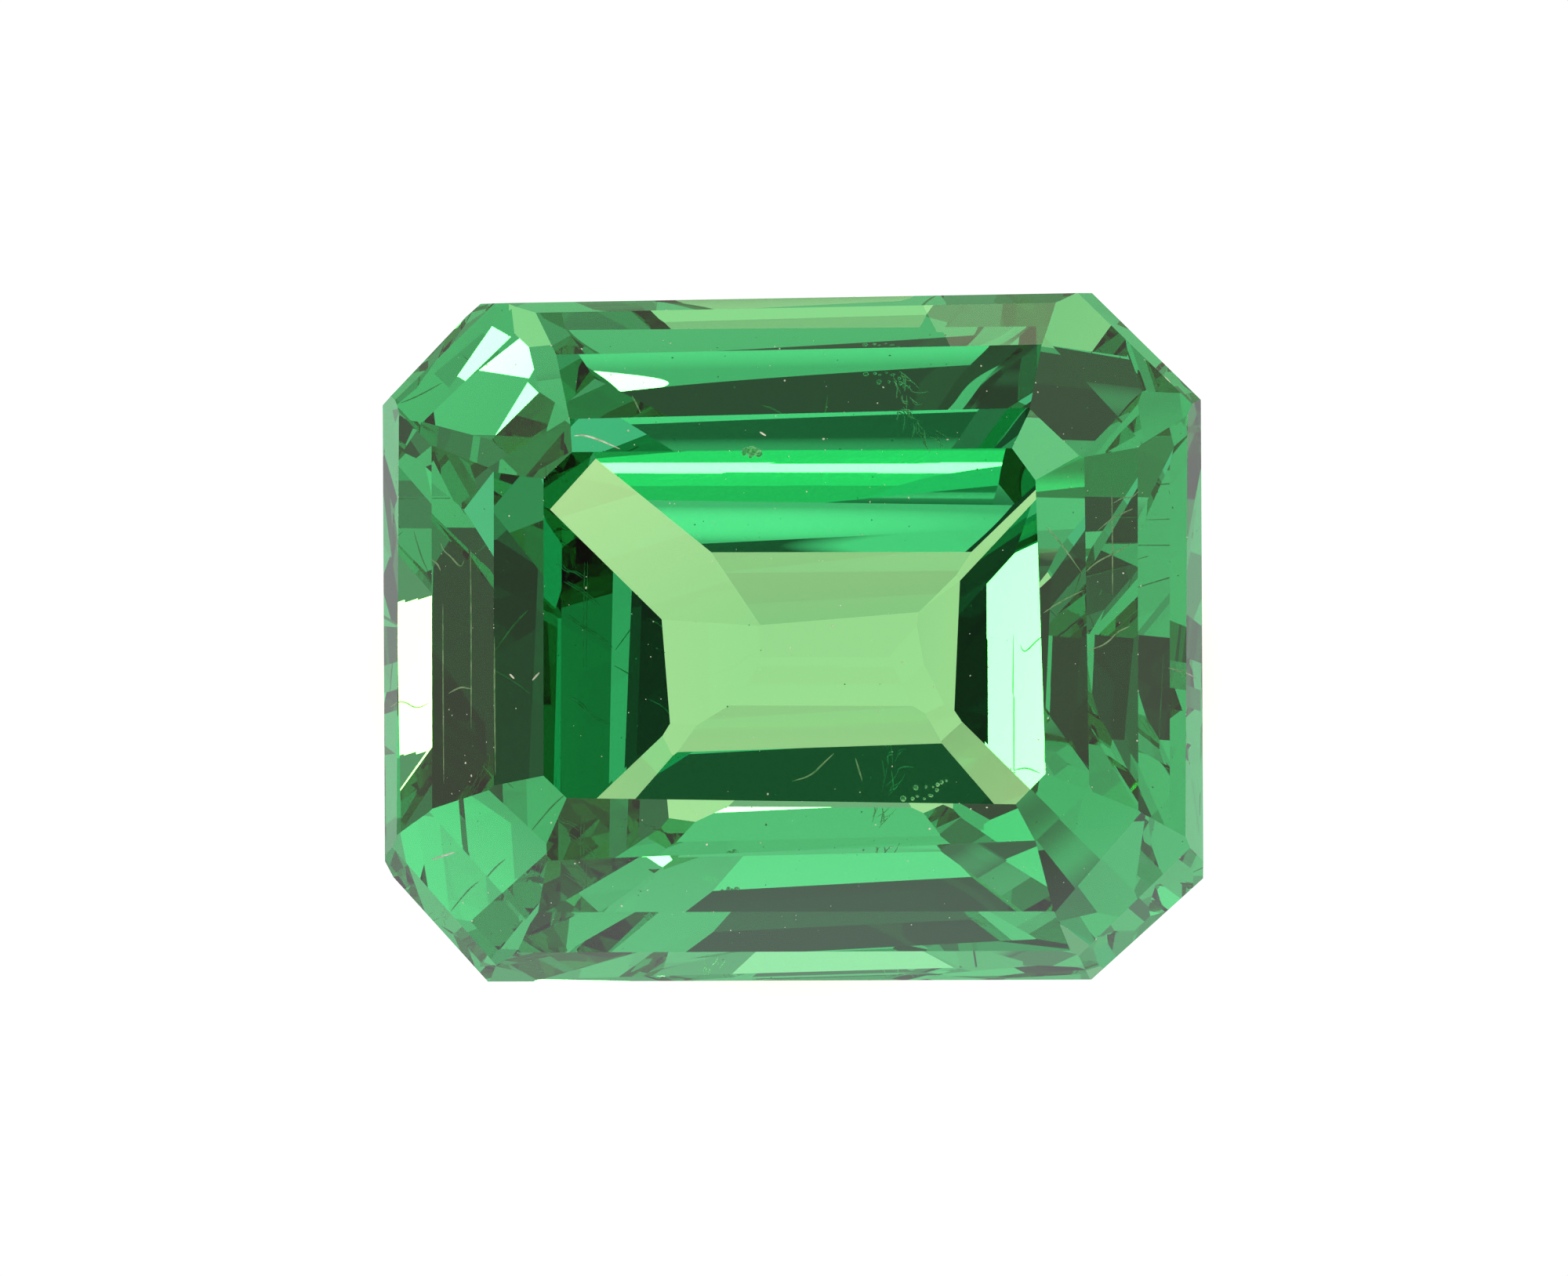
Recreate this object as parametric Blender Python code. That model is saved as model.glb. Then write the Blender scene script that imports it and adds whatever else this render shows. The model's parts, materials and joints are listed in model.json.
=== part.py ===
"""A loose rectangular step cut stone with cropped corners, resting on one of its lower facets.

The stone is cut as a gem cutter cuts it: a rough block first, then its outline, then the crown
rows from the table down, then the pavilion rows from the culet up. Lengths are in millimetres and
angles in degrees until the last step, which scales the finished stone to metres.
"""

import math

import bmesh
import bpy
from mathutils import Matrix, Vector

# The table lies at height 0 and faces +Z. Directions are seen from above, turning from +X to +Y.
STONE_DEPTH = 3.69
ROUGH_HALF_WIDTH = 5.0

# Each side of the outline: (direction it faces, distance from the middle).
OUTLINE = {
    "right": (0.3, 3.25),
    "back_right": (45.6, 3.62),
    "back": (91.0, 2.70),
    "back_left": (136.7, 3.645),
    "left": (180.3, 3.255),
    "front_left": (222.1, 3.635),
    "front": (270.2, 2.725),
    "front_right": (312.1, 3.605),
}

# Crown facets from the table down: (direction its upper edge faces, distance of that edge, slope).
CROWN = {
    "right": ((2.0, 1.955, 27.0), (0.8, 2.32, 37.0), (0.1, 2.73, 46.5), (359.7, 3.12, 66.0)),
    "back_right": ((36.2, 2.28, 24.5), (46.7, 2.60, 41.0), (42.8, 3.08, 42.5), (45.9, 3.54, 64.0)),
    "back": ((90.5, 1.485, 24.0), (91.4, 1.775, 35.0), (91.2, 2.285, 40.0), (91.1, 2.62, 64.5)),
    "back_left": ((133.4, 2.27, 30.0), (121.4, 2.41, 38.0), (129.9, 3.44, 44.0), (134.2, 3.56, 62.0)),
    "left": ((180.0, 1.975, 24.5), (180.0, 2.37, 36.5), (180.1, 2.865, 48.0), (179.7, 3.14, 68.0)),
    "front_left": ((226.0, 2.155, 28.5), (226.9, 2.525, 38.5), (221.7, 3.07, 42.5), (221.2, 3.49, 60.0)),
    "front": ((269.2, 1.29, 29.0), (272.4, 1.68, 34.0), (270.1, 2.17, 43.5), (270.2, 2.49, 59.5)),
    "front_right": ((315.7, 2.175, 27.0), (313.4, 2.485, 37.0), (319.3, 2.99, 43.5), (314.1, 3.39, 58.0)),
}

# Pavilion facets from the culet up: (direction its lower edge faces, distance of that edge, slope).
PAVILION = {
    "right": ((353.5, 0.97, 30.5), (357.4, 1.31, 41.5), (2.0, 2.23, 49.5)),
    "back_right": ((45.7, 0.85, 23.5), (36.0, 1.345, 28.5), (45.6, 2.665, 50.5)),
    "back": ((94.7, 0.125, 34.0), (90.1, 0.685, 40.0), (89.0, 1.92, 47.5)),
    "back_left": ((126.5, 0.24, 30.5), (137.9, 2.125, 39.5), (136.7, 2.91, 48.0)),
    "left": ((183.8, 0.265, 21.0), (184.6, 1.035, 41.5), (180.0, 2.70, 50.0)),
    "front_left": (
        (219.9, 0.32, 9.0), (222.0, 0.615, 14.0), (222.0, 0.84, 28.5),
        (207.0, 1.285, 34.5), (222.1, 2.975, 45.0),
    ),
    "front": (
        (270.0, 0.15, 12.5), (270.3, 0.37, 19.5), (269.8, 0.54, 33.0),
        (271.9, 0.88, 42.0), (276.0, 1.92, 53.0),
    ),
    "front_right": (
        (318.0, 0.665, 12.0), (313.0, 0.865, 19.0), (295.0, 0.99, 29.5),
        (312.0, 1.40, 34.5), (312.1, 2.91, 50.0),
    ),
}

# The loose stone can't balance on its small culet, so it lies on this pavilion facet.
RESTING_SIDE = "front"
RESTING_ROW = 3

NEAR = 1e-5
MM = 0.001
TSAVORITE_GREEN = (0.02, 0.35, 0.09, 1.0)
GARNET_IOR = 1.74


def toward(direction):
    """The level unit vector that points in this direction."""
    angle = math.radians(direction)
    return Vector((math.cos(angle), math.sin(angle)))


def step_rows(rows):
    """The climb of each facet over the plan, and its height above the middle.

    A facet is the one before it turned about the edge they share, until it reaches its own slope.
    """
    climb = Vector((0.0, 0.0))
    height = 0.0
    facets = []
    for direction, distance, slope in rows:
        away = toward(direction)
        along = climb.dot(away)
        steepness = math.tan(math.radians(slope))
        turn = math.sqrt(along * along - climb.length_squared + steepness * steepness) - along
        climb = climb + turn * away
        height -= turn * distance
        facets.append((climb, height))
    return facets


def crown_plane(climb, height):
    """A point on a crown facet and the facet's outward normal."""
    return Vector((0.0, 0.0, -height)), Vector((climb.x, climb.y, 1.0)).normalized()


def pavilion_plane(climb, height):
    """A point on a pavilion facet and the facet's outward normal."""
    return Vector((0.0, 0.0, height - STONE_DEPTH)), Vector((climb.x, climb.y, -1.0)).normalized()


def rough_block():
    """A block with the table as its top and the culet as its bottom."""
    stone = bmesh.new()
    size = Matrix.Diagonal((2 * ROUGH_HALF_WIDTH, 2 * ROUGH_HALF_WIDTH, STONE_DEPTH, 1.0))
    bmesh.ops.create_cube(stone, size=1.0, matrix=Matrix.Translation((0.0, 0.0, -STONE_DEPTH / 2)) @ size)
    return stone


def cut(stone, point, outward):
    """Cuts one flat facet and closes the stone with it."""
    everything = stone.verts[:] + stone.edges[:] + stone.faces[:]
    made = bmesh.ops.bisect_plane(
        stone, geom=everything, dist=NEAR, plane_co=point, plane_no=outward, clear_outer=True
    )
    rim = [item for item in made["geom_cut"] if isinstance(item, bmesh.types.BMEdge) and item.is_boundary]
    if rim:
        bmesh.ops.contextual_create(stone, geom=rim)


def cut_stone():
    """The whole stone, table up, and the outward normal of the facet it rests on."""
    stone = rough_block()
    for direction, distance in OUTLINE.values():
        side = toward(direction).to_3d()
        cut(stone, side * distance, side)
    for rows in CROWN.values():
        for climb, height in step_rows(rows):
            cut(stone, *crown_plane(climb, height))
    for rows in PAVILION.values():
        for climb, height in step_rows(rows):
            cut(stone, *pavilion_plane(climb, height))
    resting = pavilion_plane(*step_rows(PAVILION[RESTING_SIDE])[RESTING_ROW])[1]
    return stone, resting


def lay_down(stone, resting):
    """Turns the resting facet to the ground, with the ground at height 0 under the middle of the stone."""
    turn = resting.rotation_difference(Vector((0.0, 0.0, -1.0))).to_matrix()
    bmesh.ops.rotate(stone, cent=(0.0, 0.0, 0.0), matrix=turn, verts=stone.verts)
    low = Vector([min(vert.co[axis] for vert in stone.verts) for axis in range(3)])
    high = Vector([max(vert.co[axis] for vert in stone.verts) for axis in range(3)])
    middle = (low + high) / 2
    bmesh.ops.translate(stone, vec=(-middle.x, -middle.y, -low.z), verts=stone.verts)


def green_garnet():
    """Clear green garnet."""
    material = bpy.data.materials.new("tsavorite")
    material.use_nodes = True
    shader = material.node_tree.nodes["Principled BSDF"]
    shader.inputs["Base Color"].default_value = TSAVORITE_GREEN
    shader.inputs["Roughness"].default_value = 0.0
    shader.inputs["IOR"].default_value = GARNET_IOR
    shader.inputs["Transmission Weight"].default_value = 1.0
    material.diffuse_color = TSAVORITE_GREEN
    return material


def main():
    for thing in list(bpy.data.objects):
        bpy.data.objects.remove(thing, do_unlink=True)
    stone, resting = cut_stone()
    lay_down(stone, resting)
    bmesh.ops.scale(stone, vec=(MM, MM, MM), verts=stone.verts)
    bmesh.ops.recalc_face_normals(stone, faces=stone.faces)
    mesh = bpy.data.meshes.new("tsavorite_stone")
    stone.to_mesh(mesh)
    stone.free()
    mesh.materials.append(green_garnet())
    bpy.context.scene.collection.objects.link(bpy.data.objects.new("tsavorite_stone", mesh))


main()
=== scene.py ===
# %% [markdown]
# # A step cut garnet
# The stone is one clear green crystal with flat polished facets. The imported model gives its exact
# cut, so this script adds what the eye sees: the clear body, the light around it, and the small
# marks of a natural stone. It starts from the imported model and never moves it.

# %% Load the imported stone
import json
import math
import random

import bmesh
import bpy
from mathutils import Matrix, Vector
from mathutils.bvhtree import BVHTree


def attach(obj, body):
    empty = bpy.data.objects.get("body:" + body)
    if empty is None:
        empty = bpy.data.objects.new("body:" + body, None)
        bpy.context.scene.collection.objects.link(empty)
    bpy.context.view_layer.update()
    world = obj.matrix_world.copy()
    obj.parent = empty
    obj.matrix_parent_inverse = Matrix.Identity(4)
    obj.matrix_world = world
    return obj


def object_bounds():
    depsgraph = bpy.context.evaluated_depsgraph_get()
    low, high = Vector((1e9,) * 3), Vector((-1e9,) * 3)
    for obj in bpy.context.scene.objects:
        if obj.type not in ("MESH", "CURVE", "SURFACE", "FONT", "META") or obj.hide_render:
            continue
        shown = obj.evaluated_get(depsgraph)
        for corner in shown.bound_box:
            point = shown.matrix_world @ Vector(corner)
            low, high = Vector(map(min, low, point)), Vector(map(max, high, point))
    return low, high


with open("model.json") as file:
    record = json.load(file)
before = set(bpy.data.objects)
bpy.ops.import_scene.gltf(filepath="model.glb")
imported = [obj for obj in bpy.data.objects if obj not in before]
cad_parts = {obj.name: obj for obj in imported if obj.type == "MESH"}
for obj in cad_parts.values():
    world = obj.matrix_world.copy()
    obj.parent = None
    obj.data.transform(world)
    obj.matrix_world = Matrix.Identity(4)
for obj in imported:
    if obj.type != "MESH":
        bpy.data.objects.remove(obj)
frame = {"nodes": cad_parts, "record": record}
cad_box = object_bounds()
stone = frame["nodes"]["tsavorite_stone"]
print("stone box in metres:", cad_box)

# %% [markdown]
# The stone lies on a lower facet, so its table leans towards the camera. Everything here is easier
# to place from the table: x to the right, y to the back and z straight out of it. The record's table
# mount gives the middle of the table and its direction, and one turn takes upright things to it.

# %% Places measured from the table
MM = 0.001
table = next(mount for mount in frame["record"]["mounts"] if mount["name"] == "table")
table_middle = Vector(table["pos_m"])
table_out = Vector(table["axis"])
lean = Vector((0.0, 0.0, 1.0)).rotation_difference(table_out).to_matrix()
to_back = lean.col[1]
straight_out = lean.col[2]


def from_table(x, y, z):
    """The world place of a point given in millimetres from the middle of the table."""
    return table_middle + lean @ Vector((x, y, z)) * MM


def toward(azimuth, elevation):
    """The world direction that is seen from the table at these angles, in degrees."""
    a = math.radians(azimuth)
    e = math.radians(elevation)
    return lean @ Vector((math.cos(a) * math.cos(e), math.sin(a) * math.cos(e), math.sin(e)))


print("the table leans by", round(math.degrees(table_out.angle((0, 0, 1))), 1), "degrees")

# %% [markdown]
# Colours are written as on a colour picker, in sRGB hex, and Blender wants linear values. Every
# material below is a small tree of nodes, and one function adds each node.

# %% Colours and nodes


def colour(hex_code):
    """A linear RGBA colour from an sRGB hex code."""
    channels = [int(hex_code[i : i + 2], 16) / 255 for i in (1, 3, 5)]
    linear = [c / 12.92 if c <= 0.04045 else ((c + 0.055) / 1.055) ** 2.4 for c in channels]
    return (*linear, 1.0)


def add_node(tree, kind, links=None, values=None, **settings):
    """Adds a node with its settings, and gives its inputs their values and links."""
    node = tree.nodes.new(kind)
    for name, setting in settings.items():
        setattr(node, name, setting)
    for name, value in (values or {}).items():
        node.inputs[name].default_value = value
    for name, source in (links or {}).items():
        tree.links.new(source, node.inputs[name])
    return node


def new_material(name):
    """An empty material and its node tree."""
    material = bpy.data.materials.new(name)
    material.use_nodes = True
    material.node_tree.nodes.clear()
    return material, material.node_tree


print("middle grey #808080 is", round(colour("#808080")[0], 3), "in linear light")

# %% [markdown]
# ## The clear green body
# Tsavorite is a green grossular garnet. It bends light strongly, and it takes away red and blue on
# the way through, so short paths look pale and long paths look deep green. The surface is plain
# polished glass, and the colour comes from absorption inside.

# %% Garnet material
GARNET_IOR = 1.74
ABSORPTION_PER_METRE = 400.0
# Garnet that was ground flat and polished: sharp bright reflections outside, deep clear green inside.
garnet, tree = new_material("tsavorite_garnet")
polished = {
    "Base Color": colour("#FFFFDD"),
    "Roughness": 0.0,
    "IOR": GARNET_IOR,
    "Transmission Weight": 1.0,
}
surface = add_node(tree, "ShaderNodeBsdfPrincipled", values=polished)
green = {"Color": colour("#3FE5CA"), "Density": ABSORPTION_PER_METRE}
inside = add_node(tree, "ShaderNodeVolumeAbsorption", values=green)
parts = {"Surface": surface.outputs["BSDF"], "Volume": inside.outputs["Volume"]}
add_node(tree, "ShaderNodeOutputMaterial", links=parts)
stone.data.materials.clear()
stone.data.materials.append(garnet)
print("garnet material on", stone.name)

# %% [markdown]
# A cutter's wheel can leave a facet a little rounded. One back facet under the table shows it: light
# fades softly across it, where a flat facet has one even tone. The rounding is a thousandth of a
# millimetre high, far too low for the mesh, so a bump with one long wave across the facet turns its
# normal. Two masks find the facet by its slope and by the side that it faces. A ray that meets the
# facet from inside sees both the normal and the bump turned round, so the masks use products and
# sizes that don't change sign, and the bump is inverted.

# %% Rounded back facet
# The slope is in degrees. Where the wave is highest, how long it is and its height are in millimetres.
ROUNDED_SLOPE = 40.0
SLOPE_NEAR = 0.015
BACK_TIMES_OUT = -0.4
ROUNDED_MIDDLE = 1.1325
ROUNDED_WAVE = 0.91
ROUNDED_HEIGHT = 0.001
place = add_node(tree, "ShaderNodeTexCoord").outputs["Object"]
normal = add_node(tree, "ShaderNodeNewGeometry").outputs["True Normal"]
along = add_node(
    tree, "ShaderNodeVectorMath", links={0: place}, values={1: to_back}, operation="DOT_PRODUCT"
).outputs["Value"]
normal_back = add_node(
    tree, "ShaderNodeVectorMath", links={0: normal}, values={1: to_back}, operation="DOT_PRODUCT"
).outputs["Value"]
normal_out = add_node(
    tree, "ShaderNodeVectorMath", links={0: normal}, values={1: straight_out}, operation="DOT_PRODUCT"
).outputs["Value"]

middle = table_middle.dot(to_back) + ROUNDED_MIDDLE * MM
per_metre = 2 * math.pi / (ROUNDED_WAVE * MM)
away = add_node(tree, "ShaderNodeMath", links={0: along}, values={1: middle}, operation="SUBTRACT")
turns = add_node(
    tree, "ShaderNodeMath", links={0: away.outputs[0]}, values={1: per_metre}, operation="MULTIPLY"
)
wave = add_node(tree, "ShaderNodeMath", links={0: turns.outputs[0]}, operation="COSINE")

steep = add_node(tree, "ShaderNodeMath", links={0: normal_out}, operation="ABSOLUTE")
slope = {1: math.cos(math.radians(ROUNDED_SLOPE)), 2: SLOPE_NEAR}
right_slope = add_node(
    tree, "ShaderNodeMath", links={0: steep.outputs[0]}, values=slope, operation="COMPARE"
)
both = add_node(tree, "ShaderNodeMath", links={0: normal_back, 1: normal_out}, operation="MULTIPLY")
right_side = add_node(
    tree,
    "ShaderNodeMath",
    links={0: both.outputs[0]},
    values={1: BACK_TIMES_OUT},
    operation="LESS_THAN",
)
masks = {0: right_slope.outputs[0], 1: right_side.outputs[0]}
this_facet = add_node(tree, "ShaderNodeMath", links=masks, operation="MULTIPLY")
height = add_node(
    tree, "ShaderNodeMath", links={0: wave.outputs[0], 1: this_facet.outputs[0]}, operation="MULTIPLY"
)
polish = add_node(
    tree,
    "ShaderNodeBump",
    links={"Height": height.outputs[0]},
    values={"Strength": 1.0, "Distance": ROUNDED_HEIGHT * MM},
    invert=True,
)
tree.links.new(polish.outputs["Normal"], surface.inputs["Normal"])
print("one facet is rounded by", ROUNDED_HEIGHT, "mm")

# %% [markdown]
# ## The light table
# The stone was photographed on a glowing white plate. The plate is white round the stone, and it
# fades to a pale grey further out, so that the crown doesn't mirror too much of it. Right under the
# stone it carries a painted caustic: a warmer, stronger pool of light painted on the plate. It is one
# flat sheet, and masks on its own coordinates choose the glow.

# %% Light table
FLOOR_GAP = 0.005 * MM
FLOOR_HALF = 0.8
PALE_GLOW = ("#FFFBE8", 0.62)
WHITE_GLOW = ("#FFFFFF", 1.03)
# The warm glow is a painted caustic: a pool of light painted on the plate under the stone.
PAINTED_CAUSTIC_GLOW = ("#FFE2C2", 1.44)
WHITE_MIDDLE = (0.0, 2.1)
WHITE_RADIUS = (12.4, 7.6)
PAINTED_CAUSTIC_MIDDLE = (0.0, 1.5)
PAINTED_CAUSTIC_RADIUS = (2.7, 2.7)
SOFT_EDGE = 0.35


def inside_ellipse(tree, place, middle, radius):
    """One inside an ellipse on the floor, sized in millimetres, and zero well outside it."""
    ellipse = {
        "Location": (middle[0] * MM, middle[1] * MM, 0.0),
        "Scale": (radius[0] * MM, radius[1] * MM, 1.0),
    }
    moved = add_node(tree, "ShaderNodeMapping", {"Vector": place}, ellipse, vector_type="TEXTURE")
    away = add_node(tree, "ShaderNodeVectorMath", {0: moved.outputs[0]}, operation="LENGTH")
    edge = {"From Min": 1.0, "From Max": 1.0 + SOFT_EDGE, "To Min": 1.0, "To Max": 0.0}
    distance = {0: away.outputs["Value"]}
    mask = add_node(tree, "ShaderNodeMapRange", distance, edge, interpolation_type="SMOOTHSTEP")
    return mask.outputs[0]


# Backlit white plastic: an even glow without grain or shine, so it is made of emission alone.
light_table, tree = new_material("light_table")
place = add_node(tree, "ShaderNodeTexCoord").outputs["Object"]
plate, white, painted_caustic = [
    add_node(tree, "ShaderNodeEmission", values={"Color": colour(tone), "Strength": strength})
    for tone, strength in (PALE_GLOW, WHITE_GLOW, PAINTED_CAUSTIC_GLOW)
]
# The last mask lays the painted caustic, a warm pool of light, under the stone.
for glow, middle, radius in ((white, WHITE_MIDDLE, WHITE_RADIUS), (painted_caustic, PAINTED_CAUSTIC_MIDDLE, PAINTED_CAUSTIC_RADIUS)):
    mask = inside_ellipse(tree, place, middle, radius)
    mixed = {0: mask, 1: plate.outputs[0], 2: glow.outputs[0]}
    plate = add_node(tree, "ShaderNodeMixShader", links=mixed)
add_node(tree, "ShaderNodeOutputMaterial", links={"Surface": plate.outputs[0]})

sheet = bmesh.new()
just_below = Matrix.Translation((0.0, 0.0, -FLOOR_GAP))
bmesh.ops.create_grid(sheet, x_segments=1, y_segments=1, size=FLOOR_HALF, matrix=just_below)
floor_mesh = bpy.data.meshes.new("floor")
sheet.to_mesh(floor_mesh)
sheet.free()
floor_mesh.materials.append(light_table)
floor = bpy.data.objects.new("floor", floor_mesh)
bpy.context.scene.collection.objects.link(floor)
print("light table", 2 * FLOOR_HALF, "m wide")

# %% [markdown]
# ## The tent and the lamps
# A cut stone shows its surroundings more than its own colour, so they matter as much as the stone.
# A white tent stands round it. It is brightest in a ring round the camera. The lens and a few black
# and grey cards are what make the dark facets dark, and windows in the tent make the light ones.
# A ray followed from the camera through a facet tells which part of the tent that facet shows, so
# the patches were placed for this one view and then tuned by comparing with the photograph. The tent
# is painted on the world, because nothing in it is near enough to shift, and each patch covers the
# ones before it.

# %% Tent
TENT_COLOUR = "#FFFBE4"
TENT_LOW = 0.6
# Each patch: azimuth, elevation and radius in degrees as seen from the table, soft edge, brightness.
TENT_PATCHES = {
    "bright_ring": (0, 90, 47, 6, 1.0),
    "grey_card_back": (90, 20, 3, 2, 0.3),
    "window_back_low": (86, 33.5, 1.5, 0.5, 2.2),
    "window_back_slim": (87, 13.8, 1.5, 0.8, 1.2),
    "window_side_low": (105.5, 6, 2, 1, 2.2),
    "window_back_down": (85.8, -28.9, 4, 1.5, 1.8),
    "grey_card_left": (180, 40, 5, 2, 0.3),
    "grey_card_front": (-135, 69, 5.5, 2, 0.4),
    "grey_card_front_left": (-156, 61, 6, 2, 0.35),
    "black_card_back": (90, 41, 4, 2, 0.06),
    "window_right": (34, 36, 5, 3, 1.2),
    "window_left": (124, 41, 4.5, 2, 1.6),
    "window_back": (74, 47, 4, 2, 1.7),
    "glow_back": (76, 67, 3.5, 2, 1.5),
    "grey_card_slim": (104, 51.5, 2.5, 1, 0.3),
    "black_card_corner": (127, 55, 3.5, 1.5, 0.08),
    "lens": (90, 88, 18, 3, 0.04),
    "lens_rim": (71, 74, 3, 1.5, 0.18),
    "black_card_left": (140, 67, 6, 3, 0.06),
    "black_card_low": (163, 61, 6, 2, 0.06),
    "black_card_side": (174, 55, 4, 1.5, 0.06),
    "slit_left": (155.5, 57.5, 2.2, 1, 0.9),
    "lens_glass": (0, 90, 9, 2, 0.12),
    "lens_middle": (0, 90, 1.5, 0.6, 0.06),
    "gap_left": (139, 74.5, 3, 1, 1.1),
    "gap_right": (62, 78.5, 2.6, 1, 1.1),
    "glow_right": (53.5, 80.0, 0.3, 0.6, 1.9),
    "gap_back": (115, 71, 1.5, 0.7, 1.2),
    "gap_front": (-120, 74, 2.5, 1, 0.8),
    "gap_front_left": (-174, 75.5, 2, 1, 0.8),
    "gap_front_right": (-14, 82.2, 1.4, 0.15, 1.4),
}
world = bpy.data.worlds.new("white_tent")
bpy.context.scene.world = world
world.use_nodes = True
tree = world.node_tree
tree.nodes.clear()
view = add_node(tree, "ShaderNodeTexCoord").outputs["Generated"]
cloth = {"Color": colour(TENT_COLOUR), "Strength": TENT_LOW}
tent = add_node(tree, "ShaderNodeBackground", values=cloth)
for azimuth, elevation, radius, edge, brightness in TENT_PATCHES.values():
    patch_at = {1: toward(azimuth, elevation)}
    facing = add_node(tree, "ShaderNodeVectorMath", {0: view}, patch_at, operation="DOT_PRODUCT")
    reach = {
        "From Min": math.cos(math.radians(radius + edge)),
        "From Max": math.cos(math.radians(radius)),
    }
    mask = add_node(tree, "ShaderNodeMapRange", {0: facing.outputs["Value"]}, reach)
    cloth = {"Color": colour(TENT_COLOUR), "Strength": brightness}
    patch = add_node(tree, "ShaderNodeBackground", values=cloth)
    covered = {0: mask.outputs[0], 1: tent.outputs[0], 2: patch.outputs[0]}
    tent = add_node(tree, "ShaderNodeMixShader", links=covered)
add_node(tree, "ShaderNodeOutputWorld", links={"Surface": tent.outputs[0]})
print("tent with", len(TENT_PATCHES), "patches")

# %% [markdown]
# The wide soft lamp lights the back facets. The others are bare bulbs, which make the white flashes,
# and a thin bar with a glow round it. The bulbs and the bar are orange, because the stone takes much
# of the red away, and the flash of a white lamp would turn green. All of them stand far off.

# %% Lamps
LAMP_AWAY = 3.0
SOFT_LAMP = "#FFF3CB"
BARE_BULB = "#FFBC86"
RED_BULB = "#FFA060"
# Each lamp: azimuth, elevation, width and height in degrees from the table, brightness, colour.
LAMPS = {
    "lamp_back": (86, 7, 10.0, 10.0, 1.2, SOFT_LAMP),
    "bar_glow": (85.5, 9.9, 6.0, 1.7, 0.8, SOFT_LAMP),
    "bar_back": (85.5, 9.96, 6.0, 0.6, 70.0, RED_BULB),
    "bulb_right": (75.0, 74.9, 1.2, 1.2, 24.0, BARE_BULB),
    "bulb_left": (9.32, 26.0, 0.44, 1.8, 20.0, BARE_BULB),
    "bulb_corner_low": (42, 37.0, 4.0, 4.0, 30.0, BARE_BULB),
    "bulb_corner_high": (9, 51.5, 4.0, 4.0, 24.0, BARE_BULB),
    "bulb_corner_side": (3, 49.3, 1.8, 1.8, 24.0, BARE_BULB),
    "bulb_back": (81.4, 61.9, 0.4, 2.6, 24.0, BARE_BULB),
    "bulb_edge": (133, 84.5, 2.0, 2.0, 12.0, BARE_BULB),
}
BAR_TILT = -11.0
for name, (azimuth, elevation, wide, high, brightness, tint) in LAMPS.items():
    is_round = wide == high
    data = bpy.data.lights.new(name, "AREA")
    data.shape = "ELLIPSE" if is_round else "RECTANGLE"
    data.size = 2 * LAMP_AWAY * math.tan(math.radians(wide / 2))
    data.size_y = 2 * LAMP_AWAY * math.tan(math.radians(high / 2))
    data.color = colour(tint)[:3]
    area = data.size * data.size_y * (math.pi / 4 if is_round else 1.0)
    data.energy = brightness * math.pi * area
    out = toward(azimuth, elevation)
    side = table_out.cross(out).normalized()
    axes = Matrix((side, out.cross(side), out)).transposed().to_4x4()
    tilt = BAR_TILT if name.startswith("bar") else 0.0
    turn = Matrix.Rotation(math.radians(tilt), 4, "Z")
    lamp = bpy.data.objects.new(name, data)
    lamp.matrix_world = Matrix.Translation(table_middle + out * LAMP_AWAY) @ axes @ turn
    bpy.context.scene.collection.objects.link(lamp)
print(len(LAMPS), "lamps")

# %% [markdown]
# ## The camera
# The photograph looks straight down on to the table, so the camera takes the table's own axes. Its
# width of view comes from how many pixels of the photograph make a millimetre of the stone. Light
# turns many times inside a stone before it comes out, so the renderer may follow long paths.

# %% Camera
PHOTO_SIZE = (2000, 1628)
PIXELS_PER_MM = 161.4
STONE_MIDDLE_PIXEL = (1012, 814)
CAMERA_AWAY_MM = 198.0
SENSOR_WIDTH_MM = 36.0
NEAREST_MM = 10.0
FARTHEST = 10.0
LIGHT_BOUNCES = 24
view_width = PHOTO_SIZE[0] / PIXELS_PER_MM
shift_left = (PHOTO_SIZE[0] / 2 - STONE_MIDDLE_PIXEL[0]) / PIXELS_PER_MM
camera = bpy.data.objects.new("camera", bpy.data.cameras.new("camera"))
camera.data.sensor_width = SENSOR_WIDTH_MM
camera.data.lens = camera.data.sensor_width * CAMERA_AWAY_MM / view_width
camera.data.clip_start = NEAREST_MM * MM
camera.data.clip_end = FARTHEST
camera.matrix_world = Matrix.Translation(from_table(shift_left, 0.0, CAMERA_AWAY_MM)) @ lean.to_4x4()
bpy.context.scene.collection.objects.link(camera)
bpy.context.scene.camera = camera
bpy.context.scene.view_settings.view_transform = "Standard"
cycles = bpy.context.scene.cycles
cycles.max_bounces = LIGHT_BOUNCES
cycles.transmission_bounces = LIGHT_BOUNCES
cycles.glossy_bounces = LIGHT_BOUNCES
print("view is", round(view_width, 2), "mm wide")

# %% [markdown]
# ## Marks of a natural stone
# No natural garnet is perfectly clean. This one has a feather and a few crystals just under its
# facets, fine scratches on them, and dust. Each mark is placed where the photograph shows it: a
# ray goes from the camera through that pixel and finds the facet there.

# %% Places on the facets
dice = random.Random(7)
skin = BVHTree.FromPolygons(
    [stone.matrix_world @ vert.co for vert in stone.data.vertices],
    [tuple(face.vertices) for face in stone.data.polygons],
)
eye = camera.matrix_world.translation


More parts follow.
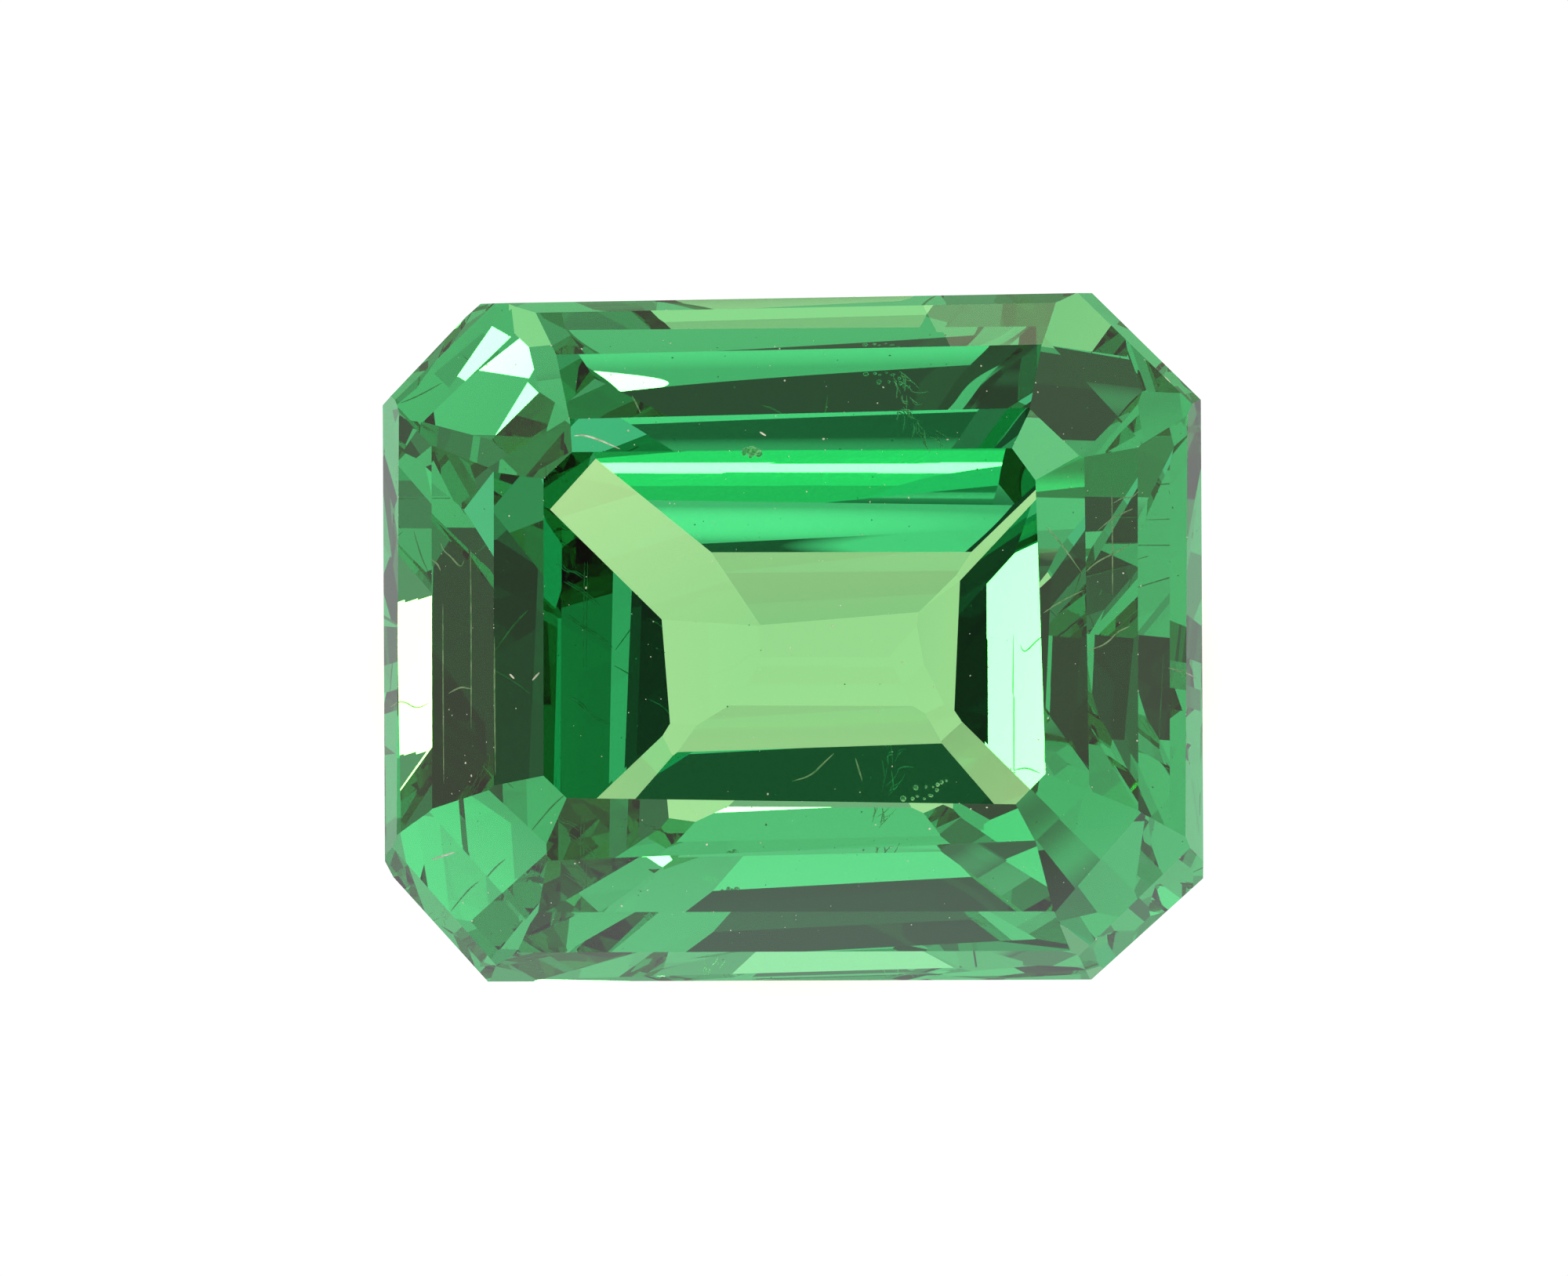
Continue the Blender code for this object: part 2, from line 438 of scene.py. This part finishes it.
def on_facet(px, py, depth=0.0):
    """The place seen at a pixel of the photograph, sunk in by this many millimetres."""
    x = (px - STONE_MIDDLE_PIXEL[0]) / PIXELS_PER_MM
    y = (STONE_MIDDLE_PIXEL[1] - py) / PIXELS_PER_MM
    spot, out, _, _ = skin.ray_cast(eye, (from_table(x, y, 0.0) - eye).normalized())
    return spot - out * depth * MM, out


middle_spot, _ = on_facet(*STONE_MIDDLE_PIXEL)
print("the middle of the table lies at", [round(value / MM, 3) for value in middle_spot], "mm")

# %% [markdown]
# A crack or a scratch is a thread: a thin closed strip with pointed ends. It starts as one small
# face, which is extruded from point to point along the path, and the four corners of the new face
# are set round each point. Extruding opens the start, so that is filled at the end. Rounding the path
# cuts each corner twice, which turns a few chosen points into a curve. A crystal or a grain of dust
# is a speck: a small uneven lump.

# %% Threads and specks
ROUNDINGS = 2
THREAD_SIDES = 4
THREAD_FLATNESS = 0.4
THREAD_TIP = 0.15
SPECK_WIDTH = (0.7, 1.3)
SPECK_HEIGHT = (0.4, 0.7)
SPECK_TURN = (0, 3)


def rounded(points):
    """The same path, with each corner cut off a quarter of the way along its sides."""
    for _ in range(ROUNDINGS):
        cut = [points[0]]
        for (ax, ay), (bx, by) in zip(points, points[1:]):
            cut.append((0.75 * ax + 0.25 * bx, 0.75 * ay + 0.25 * by))
            cut.append((0.25 * ax + 0.75 * bx, 0.25 * ay + 0.75 * by))
        points = cut + [points[-1]]
    return points


def thread(mesh, points, width, depth=0.0):
    """A thin pointed strip along pixels of the photograph, this many millimetres wide."""
    spots = [on_facet(px, py, depth) for px, py in rounded(points)]
    last = len(spots) - 1
    circle = bmesh.ops.create_circle(mesh, cap_ends=True, segments=THREAD_SIDES, radius=width * MM)
    tip = circle["verts"][0].link_faces[0]
    start = list(tip.edges)
    for i, (spot, out) in enumerate(spots):
        if i > 0:
            tip = bmesh.ops.extrude_discrete_faces(mesh, faces=[tip])["faces"][0]
        ahead = spots[min(i + 1, last)][0] - spots[max(i - 1, 0)][0]
        side = ahead.cross(out).normalized()
        up = out * THREAD_FLATNESS
        taper = THREAD_TIP + (1.0 - THREAD_TIP) * math.sin(math.pi * i / last)
        half = 0.5 * width * MM * taper
        for vert, way in zip(tip.verts, (side, up, -side, -up)):
            vert.co = spot + way * half
    bmesh.ops.holes_fill(mesh, edges=start, sides=THREAD_SIDES)


def speck(mesh, spot, out, size, detail=1):
    """A small uneven lump on a facet that faces out, this many millimetres wide."""
    wide = dice.uniform(*SPECK_WIDTH)
    long = dice.uniform(*SPECK_WIDTH)
    shape = Matrix.Diagonal((wide, long, dice.uniform(*SPECK_HEIGHT), 1.0))
    turn = Matrix.Rotation(dice.uniform(*SPECK_TURN), 4, "Z")
    upright = out.to_track_quat("Z", "Y").to_matrix().to_4x4()
    place = Matrix.Translation(spot) @ upright @ turn @ shape
    bmesh.ops.create_icosphere(mesh, subdivisions=detail, radius=0.5 * size * MM, matrix=place)


print("a path of 3 points is rounded to", len(rounded([(0, 0), (1, 0), (1, 1)])))

# %% [markdown]
# Each kind of mark becomes one piece that belongs to the stone. Marks are never one flat colour, so
# a noise with a grain of a few hundredths of a millimetre mixes two tones in them.

# %% Pieces and their finish
NOISE_DETAIL = 3.0
TONES_MEET = (0.35, 0.65)


def piece(name, mesh, material):
    """Makes an object of the mesh that belongs to the stone."""
    bmesh.ops.recalc_face_normals(mesh, faces=mesh.faces)
    data = bpy.data.meshes.new(name)
    mesh.to_mesh(data)
    mesh.free()
    data.materials.append(material)
    made = bpy.data.objects.new(name, data)
    bpy.context.scene.collection.objects.link(made)
    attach(made, "root")
    print(name, "has", len(data.polygons), "faces")
    return made


def mottled(name, dark, light, grain, finish):
    """A material that varies between two colours in patches of this many millimetres."""
    material, tree = new_material(name)
    place = add_node(tree, "ShaderNodeTexCoord").outputs["Object"]
    fine = {"Scale": 1.0 / (grain * MM), "Detail": NOISE_DETAIL}
    noise = add_node(tree, "ShaderNodeTexNoise", {"Vector": place}, fine)
    ramp = add_node(tree, "ShaderNodeValToRGB", {"Fac": noise.outputs["Fac"]})
    for element, tone, position in zip(ramp.color_ramp.elements, (dark, light), TONES_MEET):
        element.color = colour(tone)
        element.position = position
    shader = add_node(tree, "ShaderNodeBsdfPrincipled", {"Base Color": ramp.outputs["Color"]}, finish)
    add_node(tree, "ShaderNodeOutputMaterial", {"Surface": shader.outputs["BSDF"]})
    return material


# %% [markdown]
# The feather is a small healed crack near the back edge of the table. It shows as pale green wisps
# that all lean one way. They are clear but frosted, so they gather light from all round and blur it.

# %% Feather
# Widths and depths are in millimetres.
THIN = 0.011
FEATHER_DEPTH = 0.03
FEATHER_WISPS = 34
WISP_WIDTH = (0.5, 1.1)
# Places are in pixels of the photograph, and so are the spread, reach and bend of a wisp.
FEATHER_SPINE = ((1146, 478), (1158, 505), (1150, 524), (1172, 540), (1186, 552))
WISP_SPREAD = (9, 8)
WISP_REACH = (10, 26)
WISP_BEND = 4
WISP_LEAN = 50
WISP_LEAN_VARIES = 28
mesh = bmesh.new()
for _ in range(FEATHER_WISPS):
    x, y = dice.choice(FEATHER_SPINE)
    x += dice.uniform(-WISP_SPREAD[0], WISP_SPREAD[0])
    y += dice.uniform(-WISP_SPREAD[1], WISP_SPREAD[1])
    reach = dice.uniform(*WISP_REACH)
    angle = math.radians(dice.gauss(WISP_LEAN, WISP_LEAN_VARIES))
    bend = dice.uniform(-WISP_BEND, WISP_BEND)
    halfway = (x + reach * 0.5 * math.cos(angle) + bend, y + reach * 0.5 * math.sin(angle) - bend)
    end = (x + reach * math.cos(angle), y + reach * math.sin(angle))
    thread(mesh, ((x, y), halfway, end), THIN * dice.uniform(*WISP_WIDTH), FEATHER_DEPTH)
# Small gaps and crystals inside garnet: frosted walls give soft pale green spots. Their IOR is taken
# against the garnet round them, about 1.48 against 1.74, so it is below one.
frosted = {"Roughness": 0.35, "IOR": 0.85, "Transmission Weight": 1.0}
clear_mark = mottled("clear_mark", "#D8FFE4", "#FFFFFF", 0.03, frosted)
piece("feather", mesh, clear_mark)

# %% [markdown]
# The threads beside the feather are fine cracks, which show as light lines in the dark steps. The
# straight upright ones are growth lines, where the crystal paused while it grew. They are thin, so
# some of what lies behind them shows through.

# %% Fine cracks
CRACK_DEPTH = 0.02
CRACK_WIDTH = THIN * 1.2
GROWTH_WIDTH = THIN * 1.1
FINE_CRACKS = (
    ((1421, 642), (1434, 634), (1444, 636), (1454, 626)),
    ((1385, 730), (1401, 716), (1422, 706), (1444, 693)),
    ((1332, 782), (1352, 768), (1383, 753)),
    ((1388, 830), (1412, 822), (1426, 806), (1442, 799)),
    ((1401, 677), (1421, 660), (1446, 649)),
    ((1335, 672), (1352, 690), (1382, 733)),
    ((561, 693), (565, 703), (574, 710), (585, 723), (589, 721), (591, 714)),
    ((549, 714), (557, 719), (561, 728)),
    ((571, 885), (586, 876), (600, 879)),
    ((497, 902), (512, 893), (530, 905), (546, 897)),
    ((1491, 852), (1514, 858), (1527, 866)),
    ((806, 504), (811, 513), (817, 526)),
    ((1010, 997), (1034, 990), (1050, 974), (1064, 961)),
    ((1091, 967), (1100, 997)),
)
GROWTH_LINES = (
    ((630, 812), (630, 880), (631, 990)),
    ((564, 770), (564, 860), (565, 1000)),
    ((599, 700), (600, 800), (600, 930)),
    ((1419, 620), (1420, 700), (1420, 760)),
)
mesh = bmesh.new()
for path in FINE_CRACKS:
    thread(mesh, path, CRACK_WIDTH, CRACK_DEPTH)
for path in GROWTH_LINES:
    thread(mesh, path, GROWTH_WIDTH, CRACK_DEPTH)
# Broken garnet: the rough walls of a crack scatter light, so it is a pale green line without shine.
pale_crack = mottled("pale_crack", "#7FCB95", "#E9FFF0", 0.08, {"Roughness": 0.5, "Alpha": 0.6})
piece("fine_cracks", mesh, pale_crack)

# %% [markdown]
# The crystals were caught in the garnet as it grew. Six of them touch and make one oval lump at the
# back edge of the table, and a loose cluster lies near its front edge. They are frosted like the
# feather.

# %% Crystals
CRYSTAL_DEPTH = 0.03
CRYSTAL_DETAIL = 2
# Each crystal: its pixel in the photograph and its width in millimetres.
CRYSTALS = (
    (949, 577, 0.05),
    (954, 574, 0.06),
    (959, 576, 0.08),
    (964, 576, 0.07),
    (968, 579, 0.05),
    (957, 580, 0.05),
    (1152, 1019, 0.04),
    (1164, 1019, 0.04),
    (1170, 1016, 0.025),
    (1168, 1005, 0.035),
    (1196, 1001, 0.045),
    (1187, 1015, 0.035),
    (1181, 1004, 0.025),
    (1201, 998, 0.03),
    (1195, 1008, 0.025),
    (1179, 1019, 0.025),
    (1207, 996, 0.02),
    (1190, 1004, 0.02),
)
mesh = bmesh.new()
for px, py, size in CRYSTALS:
    speck(mesh, *on_facet(px, py, CRYSTAL_DEPTH), size, CRYSTAL_DETAIL)
piece("crystals", mesh, clear_mark)

# %% [markdown]
# Fine scratches and dust lie on the polish. They are small, but they are what makes a real stone
# look real. The worn specks follow the stone's own edges, found in a merged copy of its mesh. A
# speck that would reach past the stone's box is left out, so that wear never makes it larger.

# %% Scratches, dust and wear
SCRATCHES = (
    ((732, 556), (745, 555), (764, 561), (791, 573)),
    ((550, 1097), (581, 1087)),
    ((679, 868), (688, 858)),
    ((650, 860), (656, 866)),
    ((969, 551), (977, 556)),
    ((1485, 480), (1494, 489)),
)
SCRATCH_WIDTH = THIN * 1.4
DUST_SPECKS = 260
DUST_ACROSS = (560, 1460)
DUST_DOWN = (430, 1190)
SMALL_DUST = 0.006
LARGER_DUST = 0.014
WORN_SPECKS = 150
WORN_SIZE = (0.005, 0.013)
SHARP_EDGE = 0.12
SAME_POINT = 0.0001 * MM
mesh = bmesh.new()
for path in SCRATCHES:
    thread(mesh, path, SCRATCH_WIDTH)
for _ in range(DUST_SPECKS):
    spot, out = on_facet(dice.uniform(*DUST_ACROSS), dice.uniform(*DUST_DOWN))
    # The cube of a random number is mostly small, and so are most grains of dust.
    speck(mesh, spot, out, SMALL_DUST + LARGER_DUST * dice.random() ** 3)
worn = bmesh.new()
worn.from_mesh(stone.data)
bmesh.ops.remove_doubles(worn, verts=worn.verts, dist=SAME_POINT)
ridges = [edge for edge in worn.edges if len(edge.link_faces) == 2]
ridges = [edge for edge in ridges if edge.calc_face_angle(0.0) > SHARP_EDGE]
lengths = [edge.calc_length() for edge in ridges]
for edge in dice.choices(ridges, lengths, k=WORN_SPECKS):
    spot = edge.verts[0].co.lerp(edge.verts[1].co, dice.random())
    out = (edge.link_faces[0].normal + edge.link_faces[1].normal).normalized()
    size = dice.uniform(*WORN_SIZE)
    room = min(min(value - low, high - value) for value, low, high in zip(spot, *cad_box))
    if room > size * MM:
        speck(mesh, spot, out, size)
worn.free()
# Settled dust and worn polish: both are matt, so they show as tiny near white points.
pale_dust = mottled("pale_dust", "#B9C4B4", "#FFFFFF", 0.05, {"Roughness": 0.9})
piece("scratches_and_dust", mesh, pale_dust)
